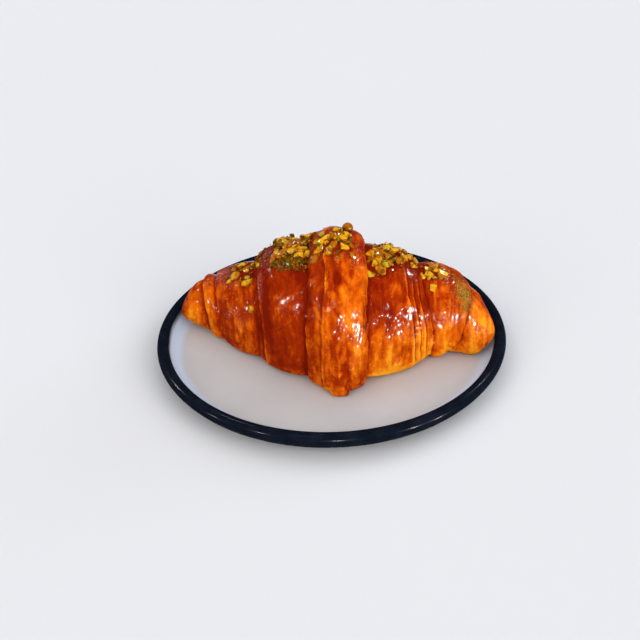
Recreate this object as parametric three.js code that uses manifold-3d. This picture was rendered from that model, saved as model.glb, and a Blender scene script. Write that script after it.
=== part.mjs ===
// A glazed croissant with chopped pistachio along its ridge, lying on a small rimmed plate.
// Millimetres, +Z up. The origin is the middle of the plate's foot ring, where it meets the table.
// The croissant's length runs along X, and its full front faces -Y.
import * as THREE from "three";
import { mergeVertices } from "three/addons/utils/BufferGeometryUtils.js";
import Module from "manifold-3d";

const wasm = await Module();
wasm.setup();

// Plate
const PLATE_RADIUS = 102.5;
const RIM_THICKNESS = 7.1;
const RIM_DROP = 3.6; // from the rim's top down to its widest line
const FLOOR_RADIUS = 87.5;
const FLOOR_TOP = 7.5;
const WALL_HEIGHT = 9.6; // from the floor to the top of the rim
const FLOOR_UNDERSIDE = 2.8;
const FOOT_RADIUS = 60;
const FOOT_WIDTH = 5;
const FOOT_RECESS = 2;
const PLATE_SIDES = 72;
const PLATE_ARC_STEPS = 5;

// Croissant: where it starts and ends along X, and how far it stands off the plate
const LEFT_END = -90.5;
const RIGHT_END = 94.5;
const END_ROUNDING = 17; // length over which an end closes
const PLATE_GAP = 0.35;
const SOLE_SOFTNESS = 2; // radius with which the sole turns up from the plate

// Stations of the bare roll: its middle line, height, half width, and how high its widest level is
const STATIONS = [
  { x: -90.5, y: 22, height: 14, half: 8.5, belly: 0.5 },
  { x: -79, y: 23, height: 25, half: 12.5, belly: 0.46 },
  { x: -55, y: 13, height: 38, half: 22, belly: 0.4 },
  { x: -27, y: -0.5, height: 58.5, half: 33, belly: 0.38 },
  { x: 3.5, y: -11, height: 69, half: 39.5, belly: 0.36 },
  { x: 35, y: -6, height: 56, half: 31.5, belly: 0.38 },
  { x: 66, y: 0, height: 40, half: 22, belly: 0.4 },
  { x: 85, y: -9, height: 32, half: 17.5, belly: 0.46 },
  { x: 95, y: -13, height: 20, half: 12, belly: 0.5 },
];
const WIDEST_X = 3.5;
const LEFT_LIFT = { from: -66, over: 20, by: 3 };
const RIGHT_LIFT = { from: 78, over: 17, by: 1.5 };
const END_SWELL = 1.6; // how far an end swells past the bare roll

// The wraps of dough, each from its outer lip to the lip of the next one inwards.
// foot, front and crest give the lip's X at the sole, the front and the ridge, and sweep is how
// late it turns towards its foot; a lip of several layers rises in steps, one every step
// millimetres, each edge round over run millimetres; bulge is how far the wrap swells behind it.
const LEFT_LIPS = [
  { foot: -70.5, front: -73, crest: -75.5, rise: 1.6, layers: 1, step: 0, run: 1, bulge: 1.4 },
  { foot: -61, front: -65, crest: -68, rise: 1.8, layers: 1, step: 0, run: 1.2, bulge: 3.2 },
  { foot: -41.5, front: -40.5, crest: -44, rise: 2.6, layers: 2, step: 2.5, run: 1, bulge: 3 },
  { foot: -13, front: -14, crest: -11, rise: 4.4, layers: 2, step: 8, run: 1.2, bulge: 2 },
];
const RIGHT_LIPS = [
  { foot: 58, front: 74.5, crest: 80, sweep: 1, rise: 4, layers: 1, step: 0, run: 7, bulge: 2.4 },
  { foot: 54, front: 57.5, crest: 51, rise: 3.2, layers: 4, step: 3.4, run: 1, bulge: 2.8 },
  { foot: 18, front: 19.5, crest: 20.5, rise: 5.2, layers: 1, step: 0, run: 2.4, bulge: 2 },
];
const SWEEP = 1.8; // for a lip that gives none
const WIDE_RUN = 2; // an edge rounder than this has a row of points on its curve
const ROW_SPACING = 3.4;
const END_ROWS = 7;
const SIDES = 44;

// The middle wrap's front hangs forward, and its last strip ends in a square tongue on the plate
const CHIN = { x: 2.5, reach: 2.5, half: 13 };
const TONGUE = { x: 3.6, width: 11, length: 12, height: 7, front: -56, corner: 2 };

// Chopped pistachio: where it lies on each wrap, as X and degrees round the roll, 0 at the
// front and 90 on the ridge. Single chips come first, then the strewn patches.
const NUT_SEED = 41;
const NUT_SINK = 0.22;
const SINGLE_NUTS = [
  { x: 10.5, angle: 103, size: 5.2, round: true },
  { x: 32, angle: 99, size: 6 },
  { x: 63.5, angle: 81, size: 6.2 },
  { x: 57.5, angle: 58.5, size: 4.6 },
  { x: -46.5, angle: 63, size: 6.4 },
  { x: -45, angle: 32, size: 4.4 },
  { x: -53, angle: 78, size: 5 },
];
const NUT_PATCHES = [
  { x: [-31, -9.5], angle: [76, 112], count: 20, size: [3.8, 6] },
  { x: [-60, -37], angle: [68, 104], count: 9, size: [3.2, 4.8] },
  { x: [-9, 14], angle: [70, 100], count: 14, size: [4, 6.4] },
  { x: [21.5, 32], angle: [62, 100], count: 9, size: [4, 6.2] },
  { x: [30, 47], angle: [76, 116], count: 11, size: [3.6, 5.6] },
  { x: [52, 66], angle: [72, 98], count: 7, size: [3.6, 5] },
];

const clamp01 = (t) => Math.min(1, Math.max(0, t));
const mix = (a, b, t) => a + (b - a) * t;
const smooth = (t) => clamp01(t) ** 2 * (3 - 2 * clamp01(t));
const quarterRound = (t) => Math.sqrt(1 - (1 - clamp01(t)) ** 2);
const signedPower = (v, power) => Math.sign(v) * Math.abs(v) ** power;

// Smooth curve through one value of the stations
function alongRoll(x, key) {
  const last = STATIONS.length - 1;
  const slope = (i) => {
    const a = STATIONS[Math.max(0, i - 1)];
    const b = STATIONS[i];
    const c = STATIONS[Math.min(last, i + 1)];
    if (i === 0 || i === last) return (c[key] - a[key]) / (c.x - a.x);
    const before = b.x - a.x;
    const after = c.x - b.x;
    const rate = (after * (b[key] - a[key])) / before + (before * (c[key] - b[key])) / after;
    return rate / (before + after);
  };
  let i = 0;
  while (i < last - 1 && x > STATIONS[i + 1].x) i++;
  const a = STATIONS[i];
  const b = STATIONS[i + 1];
  const run = b.x - a.x;
  const t = (x - a.x) / run;
  return (
    (2 * t ** 3 - 3 * t ** 2 + 1) * a[key] +
    (t ** 3 - 2 * t ** 2 + t) * run * slope(i) +
    (-2 * t ** 3 + 3 * t ** 2) * b[key] +
    (t ** 3 - t ** 2) * run * slope(i + 1)
  );
}

// 0 at the two ends of the roll and 1 past their rounding
function endFullness(x) {
  const inwards = clamp01(Math.min(x - LEFT_END, RIGHT_END - x) / END_ROUNDING);
  return (1 - (1 - inwards) ** 2.2) ** (1 / 2.2);
}

function lipX(lip, angle) {
  const s = Math.sin(angle);
  if (s < 0) return mix(lip.front, lip.foot, (-s) ** (lip.sweep ?? SWEEP));
  return mix(lip.front, lip.crest, s ** 1.5);
}

// How far the stepped layers of a lip have risen at a distance behind it
function lipRise(lip, distance) {
  let rise = 0;
  for (let layer = 0; layer < lip.layers; layer++) {
    rise += (quarterRound((distance - layer * lip.step) / lip.run) * lip.rise) / lip.layers;
  }
  return rise;
}

// The wraps in order from the left end to the right one
const WRAPS = [
  { kind: "end", side: -1, right: LEFT_LIPS[0] },
  ...LEFT_LIPS.slice(0, -1).map((lip, i) => ({ kind: "wrap", side: -1, left: lip, right: LEFT_LIPS[i + 1] })),
  { kind: "middle", side: 0, left: LEFT_LIPS.at(-1), right: RIGHT_LIPS.at(-1) },
  ...RIGHT_LIPS.slice(0, -1)
    .map((lip, i) => ({ kind: "wrap", side: 1, left: RIGHT_LIPS[i + 1], right: lip }))
    .reverse(),
  { kind: "end", side: 1, left: RIGHT_LIPS[0] },
];

function wrapSpan(wrap, angle) {
  return [wrap.left ? lipX(wrap.left, angle) : LEFT_END, wrap.right ? lipX(wrap.right, angle) : RIGHT_END];
}

// How far the dough stands above the bare roll, share being 0 at a wrap's left edge and 1 at its right
function wrapRise(wrap, share, length) {
  if (wrap.kind === "end") {
    const outwards = clamp01(wrap.side < 0 ? 1 - share : share);
    return END_SWELL * Math.sin(Math.PI * outwards ** 1.3);
  }
  if (wrap.kind === "middle") {
    const left = lipRise(wrap.left, share * length);
    const right = lipRise(wrap.right, (1 - share) * length);
    return mix(left, right, smooth(share)) + wrap.left.bulge * Math.sin(Math.PI * share);
  }
  const lip = wrap.side < 0 ? wrap.left : wrap.right;
  const back = wrap.side < 0 ? share : 1 - share;
  const swell = lip.bulge * Math.sin(Math.PI * clamp01(back * 0.9 + 0.05));
  return lipRise(lip, back * length) - lip.rise * back ** 1.4 + swell;
}

function liftAt(x) {
  const left = LEFT_LIFT.by * smooth((LEFT_LIFT.from - x) / LEFT_LIFT.over);
  return left + RIGHT_LIFT.by * smooth((x - RIGHT_LIFT.from) / RIGHT_LIFT.over);
}

// A point of the crust, rise millimetres outside the bare roll
function crustPoint(x, angle, rise) {
  const height = alongRoll(x, "height");
  const fullness = endFullness(x);
  const cos = Math.cos(angle);
  const sin = Math.sin(angle);
  const belly = height * alongRoll(x, "belly");
  const sole = belly + 2 * smooth((height - 20) / 20);
  const squareness = 0.85 - 0.35 * smooth(1.25 - Math.abs(x - WIDEST_X) / 85);
  const power = sin < 0 ? squareness : 0.95;
  const nearMiddle = Math.exp(-(((x - CHIN.x) / CHIN.half) ** 2));
  const chin = CHIN.reach * nearMiddle * smooth(clamp01(cos) * 1.4) * smooth(0.5 - sin * 0.9);
  const forward = (alongRoll(x, "half") * fullness + rise) * signedPower(cos, power) + chin;
  const up = (height - belly) * fullness + rise;
  const down = sole * fullness + rise * 0.4;
  let z = belly + liftAt(x) + (sin < 0 ? down : up) * signedPower(sin, power);
  const turn = PLATE_GAP + SOLE_SOFTNESS;
  if (z < turn) z = PLATE_GAP + SOLE_SOFTNESS * Math.exp((z - turn) / SOLE_SOFTNESS);
  return new THREE.Vector3(x, alongRoll(x, "y") - forward, z + FLOOR_TOP);
}

function crustAt(x, angle) {
  const wrap = WRAPS.find((w) => x <= wrapSpan(w, angle)[1]) ?? WRAPS.at(-1);
  const [left, right] = wrapSpan(wrap, angle);
  return crustPoint(x, angle, wrapRise(wrap, (x - left) / (right - left), right - left));
}

// Shares of a wrap's length at which it has a row of points: close together on each layer's edge
function rowShares(wrap) {
  if (wrap.kind === "end") {
    const rows = Array.from({ length: END_ROWS }, (_, i) => (i + 1) / END_ROWS);
    if (wrap.side < 0) return rows.map((t) => 1 - Math.cos((t * Math.PI) / 2));
    return rows.map((t) => Math.sin(((t - 1 / END_ROWS) * Math.PI) / 2)).slice(1);
  }
  const [left, right] = wrapSpan(wrap, 0);
  const length = right - left;
  const rows = [1];
  for (const [lip, fromLeft] of [
    [wrap.left, wrap.side <= 0],
    [wrap.right, wrap.side >= 0],
  ]) {
    if (!fromLeft) continue;
    for (let layer = 0; layer < lip.layers; layer++) {
      for (const part of lip.run > WIDE_RUN ? [0, 0.12, 0.45, 1] : [0, 1]) {
        const share = (layer * lip.step + part * lip.run) / length;
        rows.push(lip === wrap.left ? share : 1 - share);
      }
    }
  }
  const steps = Math.ceil(length / ROW_SPACING);
  for (let i = 1; i < steps; i++) {
    const share = i / steps;
    if (rows.every((row) => Math.abs(row - share) * length > ROW_SPACING * 0.45)) rows.push(share);
  }
  return [...new Set(rows.filter((row) => row > 1e-6))].sort((a, b) => a - b);
}

// A closed skin over rings of points, ending in a single point at each end
function loft(rings, start, end) {
  const sides = rings[0].length;
  const points = [start, ...rings.flat(), end];
  const index = [];
  for (let j = 0; j < sides; j++) {
    const next = (j + 1) % sides;
    const lastRing = 1 + (rings.length - 1) * sides;
    index.push(0, 1 + j, 1 + next);
    index.push(points.length - 1, lastRing + next, lastRing + j);
    for (let i = 0; i < rings.length - 1; i++) {
      const a = 1 + i * sides + j;
      const b = 1 + i * sides + next;
      index.push(a, a + sides, b + sides, a, b + sides, b);
    }
  }
  return new THREE.BufferGeometry().setFromPoints(points).setIndex(index);
}

function rollGeometry() {
  const angles = Array.from({ length: SIDES }, (_, j) => -Math.PI / 2 + (2 * Math.PI * j) / SIDES);
  const rings = [];
  for (const wrap of WRAPS) {
    for (const share of rowShares(wrap)) {
      rings.push(
        angles.map((angle) => {
          const [left, right] = wrapSpan(wrap, angle);
          return crustPoint(mix(left, right, share), angle, wrapRise(wrap, share, right - left));
        }),
      );
    }
  }
  return loft(rings, crustPoint(LEFT_END, 0, 0), crustPoint(RIGHT_END, 0, 0));
}

function tongueGeometry() {
  const { width, length, height, corner } = TONGUE;
  const outline = new THREE.Shape();
  const half = width / 2;
  outline.moveTo(-half, -length / 2);
  outline.lineTo(half, -length / 2);
  outline.lineTo(half, length / 2 - corner);
  outline.quadraticCurveTo(half, length / 2, half - corner, length / 2);
  outline.lineTo(corner - half, length / 2);
  outline.quadraticCurveTo(-half, length / 2, -half, length / 2 - corner);
  outline.closePath();
  const bevel = 1;
  const geometry = new THREE.ExtrudeGeometry(outline, {
    depth: height - 2 * bevel,
    bevelSize: bevel,
    bevelOffset: -bevel,
    bevelThickness: bevel,
    bevelSegments: 1,
    curveSegments: 2,
  });
  const place = new THREE.Vector3(TONGUE.x, TONGUE.front + length / 2, FLOOR_TOP + PLATE_GAP + bevel);
  return geometry.rotateZ(Math.PI).translate(place.x, place.y, place.z);
}

// Repeatable random numbers from 0 to 1
function randomFrom(seed) {
  let state = seed;
  return () => {
    state = (state * 1664525 + 1013904223) % 4294967296;
    return state / 4294967296;
  };
}

// One chip of nut: a chopped lump, longer than it is thick, or a whole round one
function nutGeometry({ size, round }, random) {
  const geometry = new THREE.IcosahedronGeometry(0.5, 0);
  geometry.deleteAttribute("normal");
  geometry.deleteAttribute("uv");
  const lump = mergeVertices(geometry, 1e-4);
  const position = lump.getAttribute("position");
  const uneven = round ? 0.04 : 0.22;
  for (let i = 0; i < position.count; i++) {
    const stretch = 1 + uneven * (random() - 0.5) * 2;
    position.setXYZ(i, position.getX(i) * stretch, position.getY(i) * stretch, position.getZ(i) * stretch);
  }
  const broad = round ? 1 : mix(0.62, 0.85, random());
  const thick = round ? 0.96 : mix(0.45, 0.65, random());
  return lump.scale(size, size * broad, size * thick);
}

// Turns and moves a chip so that it lies on the crust, sunk a little into it
function layNut(nut, random) {
  const geometry = nutGeometry(nut, random);
  const angle = THREE.MathUtils.degToRad(nut.angle);
  const point = crustAt(nut.x, angle);
  const along = crustAt(nut.x + 0.6, angle).sub(crustAt(nut.x - 0.6, angle));
  const round = crustAt(nut.x, angle + 0.02).sub(crustAt(nut.x, angle - 0.02));
  const outwards = along.cross(round).normalize();
  geometry.computeBoundingBox();
  const lift = geometry.boundingBox.max.z - nut.size * NUT_SINK;
  const spin = new THREE.Quaternion().setFromAxisAngle(new THREE.Vector3(0, 0, 1), random() * 2 * Math.PI);
  const stand = new THREE.Quaternion().setFromUnitVectors(new THREE.Vector3(0, 0, 1), outwards);
  const place = point.addScaledVector(outwards, lift);
  return geometry.applyMatrix4(new THREE.Matrix4().compose(place, stand.multiply(spin), new THREE.Vector3(1, 1, 1)));
}

// Chips spread evenly over a patch, each moved a little at random
function strewn(patch, random) {
  const golden = 0.618034;
  return Array.from({ length: patch.count }, (_, i) => {
    const u = clamp01((i + 0.5 + (random() - 0.5) * 0.9) / patch.count);
    const v = ((i * golden) % 1) * 0.9 + random() * 0.1;
    const size = mix(patch.size[0], patch.size[1], random());
    return { x: mix(...patch.x, u), angle: mix(...patch.angle, v), size };
  });
}

function solidOf(geometry) {
  const bare = geometry.clone();
  bare.deleteAttribute("normal");
  bare.deleteAttribute("uv");
  const merged = mergeVertices(bare, 1e-4);
  return new wasm.Manifold(
    new wasm.Mesh({
      numProp: 3,
      vertProperties: new Float32Array(merged.getAttribute("position").array),
      triVerts: new Uint32Array(merged.index.array),
    }),
  );
}

function geometryOf(solid) {
  const { vertProperties, triVerts } = solid.getMesh();
  return new THREE.BufferGeometry()
    .setAttribute("position", new THREE.BufferAttribute(new Float32Array(vertProperties), 3))
    .setIndex(new THREE.BufferAttribute(new Uint32Array(triVerts), 1));
}

function croissant() {
  const random = randomFrom(NUT_SEED);
  const nuts = [...SINGLE_NUTS, ...NUT_PATCHES.flatMap((patch) => strewn(patch, random))];
  let joined = solidOf(rollGeometry()).add(solidOf(tongueGeometry()));
  for (const nut of nuts) joined = joined.add(solidOf(layNut(nut, random)));
  // What the chips seal between them is filled, and only the one large body is kept
  const bodies = joined.decompose().filter((body) => body.volume() > 0);
  const body = bodies.reduce((a, b) => (a.volume() > b.volume() ? a : b));
  const crust = new THREE.MeshStandardMaterial({ color: 0xb85a1a, roughness: 0.3 });
  const mesh = new THREE.Mesh(geometryOf(body), crust);
  mesh.name = "croissant";
  return mesh;
}

// One piece of glazed stoneware: foot ring, flat floor, short curved wall and round rim
function plate() {
  const tube = RIM_THICKNESS / 2;
  const rimMiddle = PLATE_RADIUS - tube;
  const rimLevel = FLOOR_TOP + WALL_HEIGHT - RIM_DROP;
  const footInner = FOOT_RADIUS - FOOT_WIDTH / 2;
  const footOuter = FOOT_RADIUS + FOOT_WIDTH / 2;
  const under = -Math.PI / 4;
  const profile = new THREE.Path();
  profile.moveTo(0, FOOT_RECESS);
  profile.lineTo(footInner - 1, FOOT_RECESS);
  profile.lineTo(footInner, 0);
  profile.lineTo(footOuter, 0);
  profile.lineTo(footOuter + 1.5, FLOOR_UNDERSIDE);
  profile.lineTo(FLOOR_RADIUS + 2, FLOOR_UNDERSIDE + 0.6);
  profile.quadraticCurveTo(
    rimMiddle - 0.5,
    FLOOR_UNDERSIDE + 2,
    rimMiddle + tube * Math.cos(under),
    rimLevel + tube * Math.sin(under),
  );
  profile.absarc(rimMiddle, rimLevel, tube, under, Math.PI, false);
  profile.quadraticCurveTo(rimMiddle - tube - 1, FLOOR_TOP, FLOOR_RADIUS, FLOOR_TOP);
  profile.lineTo(0, FLOOR_TOP);
  const turned = new THREE.LatheGeometry(profile.getPoints(PLATE_ARC_STEPS), PLATE_SIDES);
  turned.rotateX(Math.PI / 2);
  const glaze = new THREE.MeshStandardMaterial({ color: 0xb5aaa6, roughness: 0.25 });
  const mesh = new THREE.Mesh(turned, glaze);
  mesh.name = "plate";
  return mesh;
}

const group = new THREE.Group();
group.add(plate(), croissant());

export default group;
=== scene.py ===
"""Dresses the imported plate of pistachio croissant: a smooth glazed plate, a croissant of separate
wraps of layered crust, and chopped pistachio strewn along its ridge."""

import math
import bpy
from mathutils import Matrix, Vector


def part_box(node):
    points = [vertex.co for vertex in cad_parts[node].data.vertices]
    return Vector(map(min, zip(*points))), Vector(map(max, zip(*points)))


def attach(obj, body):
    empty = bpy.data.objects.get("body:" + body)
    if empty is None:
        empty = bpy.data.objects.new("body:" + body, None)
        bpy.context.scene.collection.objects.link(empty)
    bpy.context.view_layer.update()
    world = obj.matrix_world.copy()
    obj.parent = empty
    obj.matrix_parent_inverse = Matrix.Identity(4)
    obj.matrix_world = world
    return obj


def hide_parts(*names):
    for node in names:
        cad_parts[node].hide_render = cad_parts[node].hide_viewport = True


bl_info = {
    "name": "Pistachio croissant on its plate",
    "version": (1, 0, 0),
    "blender": (4, 5, 0),
    "location": "View3D > Sidebar > Croissant",
    "description": "Builds a glazed croissant with chopped pistachio on its plate",
    "category": "Add Mesh",
}

import bmesh
import bpy
import numpy as np
from mathutils import Quaternion, Vector

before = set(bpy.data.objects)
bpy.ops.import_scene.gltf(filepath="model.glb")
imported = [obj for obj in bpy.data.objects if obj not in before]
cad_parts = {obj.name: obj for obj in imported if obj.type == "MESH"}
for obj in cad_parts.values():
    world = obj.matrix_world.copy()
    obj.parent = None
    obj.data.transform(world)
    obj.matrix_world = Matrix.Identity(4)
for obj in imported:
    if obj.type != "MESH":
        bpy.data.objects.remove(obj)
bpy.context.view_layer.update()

MM = 0.001
BODY = "root"


def table(columns, *rows):
    """One record for each row, with its values under the names of the columns."""
    return [dict(zip(columns.split(), row)) for row in rows]


# What the frame says
PLATE_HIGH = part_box("plate")[1]
CRUST_LOW, CRUST_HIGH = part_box("croissant")
PLATE_RADIUS = PLATE_HIGH.x / MM
LEFT_END = CRUST_LOW.x / MM
RIGHT_END = CRUST_HIGH.x / MM
PLATE_GAP = 0.35
FLOOR_TOP = CRUST_LOW.z / MM - PLATE_GAP

# Plate, in millimetres
RIM_THICKNESS = 7.1
RIM_LEVEL = PLATE_HIGH.z / MM - RIM_THICKNESS / 2
FLOOR_RADIUS = 87.5
FLOOR_UNDERSIDE = 2.8
FOOT_RADIUS = 60.0
FOOT_WIDTH = 5.0
FOOT_RECESS = 2.0
HUB_RADIUS = 2.0

# Croissant, in millimetres. Stations: x, middle line y, height, half width, level of the belly
STATIONS = np.array(
    [
        (-90.5, 22.0, 14.0, 8.5, 0.50),
        (-79.0, 23.0, 25.0, 12.5, 0.46),
        (-55.0, 13.0, 38.0, 22.0, 0.40),
        (-27.0, -0.5, 58.5, 33.0, 0.38),
        (3.5, -11.0, 69.0, 39.5, 0.36),
        (35.0, -6.0, 56.0, 31.5, 0.38),
        (66.0, 0.0, 40.0, 22.0, 0.40),
        (85.0, -9.0, 32.0, 17.5, 0.46),
        (95.0, -13.0, 20.0, 12.0, 0.50),
    ]
)
AXIS_Y, HEIGHT, HALF_WIDTH, BELLY = 1, 2, 3, 4
END_ROUNDING = 17.0
END_POWER = 2.2
SOLE_SOFTNESS = 2.0
WIDEST_X = 3.5
LEFT_LIFT = dict(start=-66.0, over=20.0, by=3.0)
RIGHT_LIFT = dict(start=78.0, over=17.0, by=1.5)
CHIN = dict(x=2.5, reach=2.5, half=13.0)
TONGUE = dict(left=-2.0, right=9.2, edge=0.8, foot=0.93, sole=0.97)

# Lips of the wraps, from the croissant's end to its middle: X of the lip under the roll, at its
# front and on its ridge, how far the dough behind it stands up, in how many layers, how far apart
# these are, the distance over which each rounds off, and how much the wrap swells
LIP_COLUMNS = "foot front crest rise layers step run bulge"
LEFT_LIPS = table(
    LIP_COLUMNS,
    (-70.5, -73.0, -75.5, 1.6, 1, 0.0, 1.0, 1.4),
    (-61.0, -65.0, -68.0, 1.8, 1, 0.0, 1.2, 3.2),
    (-41.5, -40.5, -44.0, 2.6, 2, 2.5, 1.0, 3.0),
    (-13.0, -14.0, -11.0, 4.4, 2, 8.0, 1.2, 2.0),
)
RIGHT_LIPS = table(
    LIP_COLUMNS,
    (58.0, 74.5, 80.0, 4.0, 1, 0.0, 7.0, 2.4),
    (54.0, 57.5, 51.0, 3.2, 4, 3.4, 1.0, 2.8),
    (18.0, 19.5, 20.5, 5.2, 1, 0.0, 2.4, 2.0),
)
# The second layer of the middle strip is only a thin line: most of the rise is in the first, and
# its edge and groove are weak
LEFT_LIPS[3].update(first=0.78, edge=0.78, groove=0.25)
# How late a lip turns on its way to the ridge and to its foot, where the lip of the right end
# goes straight
CREST_SWEEP = 1.5
SWEEP = 1.8
RIGHT_LIPS[0].update(sweep=1.0)

# The wraps from left to right. side is where the lip is: -1 left, 1 right, 0 both. top and low are
# how dark the wrap is baked on its ridge and near the plate, and crinkle how wrinkled its skin is.
WRAPS = table(
    "name kind side left right top low crinkle",
    ("crust_left_end", "end", -1, None, LEFT_LIPS[0], 0.42, 0.40, 0.25),
    ("crust_left_ring", "wrap", -1, LEFT_LIPS[0], LEFT_LIPS[1], 0.36, 0.26, 0.6),
    ("crust_left_arm", "wrap", -1, LEFT_LIPS[1], LEFT_LIPS[2], 0.54, 0.58, 0.9),
    ("crust_left_shoulder", "wrap", -1, LEFT_LIPS[2], LEFT_LIPS[3], 0.70, 0.56, 0.8),
    ("crust_middle", "middle", 0, LEFT_LIPS[3], RIGHT_LIPS[2], 0.48, 0.42, 1.0),
    ("crust_right_shoulder", "wrap", 1, RIGHT_LIPS[2], RIGHT_LIPS[1], 0.66, 0.12, 1.1),
    ("crust_right_arm", "wrap", 1, RIGHT_LIPS[1], RIGHT_LIPS[0], 0.50, 0.16, 1.1),
    ("crust_right_end", "end", 1, RIGHT_LIPS[0], None, 0.28, 0.32, 1.0),
)
END_SWELL = 1.6
TUCK_LENGTH = 4.0
TUCK_DEPTH = 1.6
LIP_UNDERCUT = 0.45
LIP_DEPTH = 2.2
# How far lips and layers stray from their lines, and how far from a lip it straightens again
LIP_WAVER = 0.38
LAYER_WANDER = 0.9
WAVER_REACH = 8.0
NO_LIP = 99.0
# Height of a layer's edge and depth of the groove in front of it
EDGE_HEIGHT = 0.18
GROOVE_DEPTH = 0.16

# Places that are baked darker, or lighter where darker is below 0, and two that are painted shade:
# X, degrees round, and half sizes
TONES = table(
    "x angle wide turn darker",
    (3.5, 54.0, 3.5, 8.0, 0.30),
    (4.2, 53.0, 1.9, 4.5, 0.60),
    (-3.5, 36.0, 2.5, 6.0, 0.28),
    (11.0, 33.0, 5.0, 14.0, -0.36),
    # Painted shade in the crease before the shoulder's lip
    (-40.0, 14.0, 3.0, 12.0, 0.28),
    (-16.0, 58.0, 4.5, 8.0, 0.26),
    (26.0, 38.0, 6.0, 18.0, 0.22),
    (46.0, 58.0, 4.0, 16.0, 0.24),
    (-55.0, 8.0, 5.0, 12.0, -0.20),
    (35.0, -25.0, 9.0, 20.0, -0.14),
    (64.0, -20.0, 9.0, 22.0, -0.14),
    (-83.0, 12.0, 5.0, 34.0, -0.22),
    (-35.5, 34.0, 2.2, 20.0, 0.30),
    # Darker strip beside the middle strip's lip: partly darker bake, partly painted shade of its
    # groove
    (-11.0, 20.0, 3.2, 44.0, 0.26),
    (51.0, 0.0, 6.0, 26.0, -0.22),
    (84.0, 24.0, 7.0, 20.0, -0.14),
)
# Patches of folded skin under pooled glaze: X and degrees round the roll, half sizes across and up,
# the distance from crest to crest, how far the crests lean from level in degrees, their depth, how
# steeply the patch tips up, and how much of the roll's curve it takes out
FOLDS = table(
    "x angle wide high pitch lean depth tip flat",
    (13.2, 15.0, 2.4, 9.5, 1.9, 70.0, 0.18, 0.15, 0.5),
    (10.5, 1.0, 1.4, 3.0, 2.0, 60.0, 0.18, 0.20, 0.0),
    (5.2, 25.0, 1.6, 2.4, 2.0, -30.0, 0.14, 0.0, 0.0),
    (24.0, 24.0, 1.5, 3.0, 2.0, 50.0, 0.12, 0.0, 0.0),
    (31.5, 9.0, 2.0, 7.0, 2.6, 68.0, 0.18, 0.22, 0.5),
    (38.0, 13.0, 3.0, 4.5, 2.8, -56.0, 0.20, 0.18, 0.5),
    (36.5, -9.0, 2.6, 3.4, 2.6, 60.0, 0.20, 0.38, 0.0),
    (44.0, 21.0, 2.4, 8.0, 1.9, 84.0, 0.09, 0.0, 0.5),
    (46.0, 5.0, 1.4, 6.0, 2.0, 84.0, 0.08, 0.16, 0.4),
    (51.5, 17.0, 3.4, 8.0, 2.4, 80.0, 0.12, 0.08, 0.0),
    (62.5, 26.0, 2.6, 4.0, 2.6, 60.0, 0.24, 0.0, 0.0),
    (60.5, 12.0, 2.2, 3.6, 2.4, -60.0, 0.24, 0.10, 0.0),
    (68.5, 33.0, 3.4, 6.5, 2.2, 78.0, 0.26, 0.0, 0.0),
    (57.0, -2.0, 2.6, 3.0, 2.4, 40.0, 0.20, 0.26, 0.0),
    (80.5, 15.0, 3.6, 8.0, 2.6, 84.0, 0.09, 0.08, 0.7),
    (87.5, 12.0, 1.8, 6.5, 2.4, 84.0, 0.08, 0.06, 0.7),
    (-24.0, 36.0, 1.8, 1.6, 1.8, 35.0, 0.13, 0.0, 0.0),
    (-18.5, 29.0, 1.6, 2.6, 1.8, 55.0, 0.13, 0.0, 0.0),
    (-56.5, 28.0, 3.0, 2.4, 1.8, -35.0, 0.16, 0.0, 0.0),
    (-51.0, 13.0, 2.6, 3.4, 2.2, 40.0, 0.18, 0.10, 0.0),
    (-48.0, 27.0, 1.6, 2.4, 2.0, 50.0, 0.14, 0.0, 0.0),
    (-66.0, 24.0, 1.4, 2.6, 1.8, 60.0, 0.12, 0.0, 0.0),
    (-59.5, 22.0, 2.2, 1.6, 1.6, -20.0, 0.16, 0.0, 0.0),
    (-52.5, 23.0, 2.0, 1.8, 1.6, 30.0, 0.16, 0.0, 0.0),
    (-24.5, 29.0, 2.0, 1.4, 1.6, -30.0, 0.14, 0.0, 0.0),
    (-39.0, 54.0, 2.0, 9.0, 2.4, 78.0, 0.18, 0.0, 0.0),
    (-35.5, 84.0, 5.5, 7.0, 3.0, 30.0, 0.22, 0.0, 0.0),
    (-63.0, 84.0, 9.0, 6.0, 3.0, 20.0, 0.24, 0.0, 0.0),
    (-58.0, 66.0, 4.0, 3.0, 2.6, 0.0, 0.20, 0.0, 0.0),
    (-8.0, 88.0, 2.6, 9.0, 2.6, 60.0, 0.12, 0.0, 0.0),
    (15.5, 72.0, 2.4, 9.0, 2.8, 70.0, 0.12, 0.0, 0.0),
    (45.0, 68.0, 5.0, 6.0, 2.6, 75.0, 0.14, 0.0, 0.0),
    (69.0, 70.0, 5.0, 7.0, 3.0, 60.0, 0.22, 0.0, 0.0),
)
# Glaze between the pools, and the share of the skin's relief that a pool levels
THIN_GLAZE = 0.10
POOL_LEVELS = 0.55
# Behind the ridge, where the photo shows nothing, pools come from noise: first angle and fade
BACK_ANGLE = 95.0
BACK_FADE = 20.0
# Painted shade darkens the crust under the nuts, fading over so many millimetres and degrees, and
# nut dust clings to the right end
UNDER_NUT_SHADE = 0.30
UNDER_NUT_SHADE_FADE = 4.0
UNDER_NUT_SHADE_TURN = 8.0
DUST = dict(x=76.5, angle=62.0, wide=5.0, turn=26.0)

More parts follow.
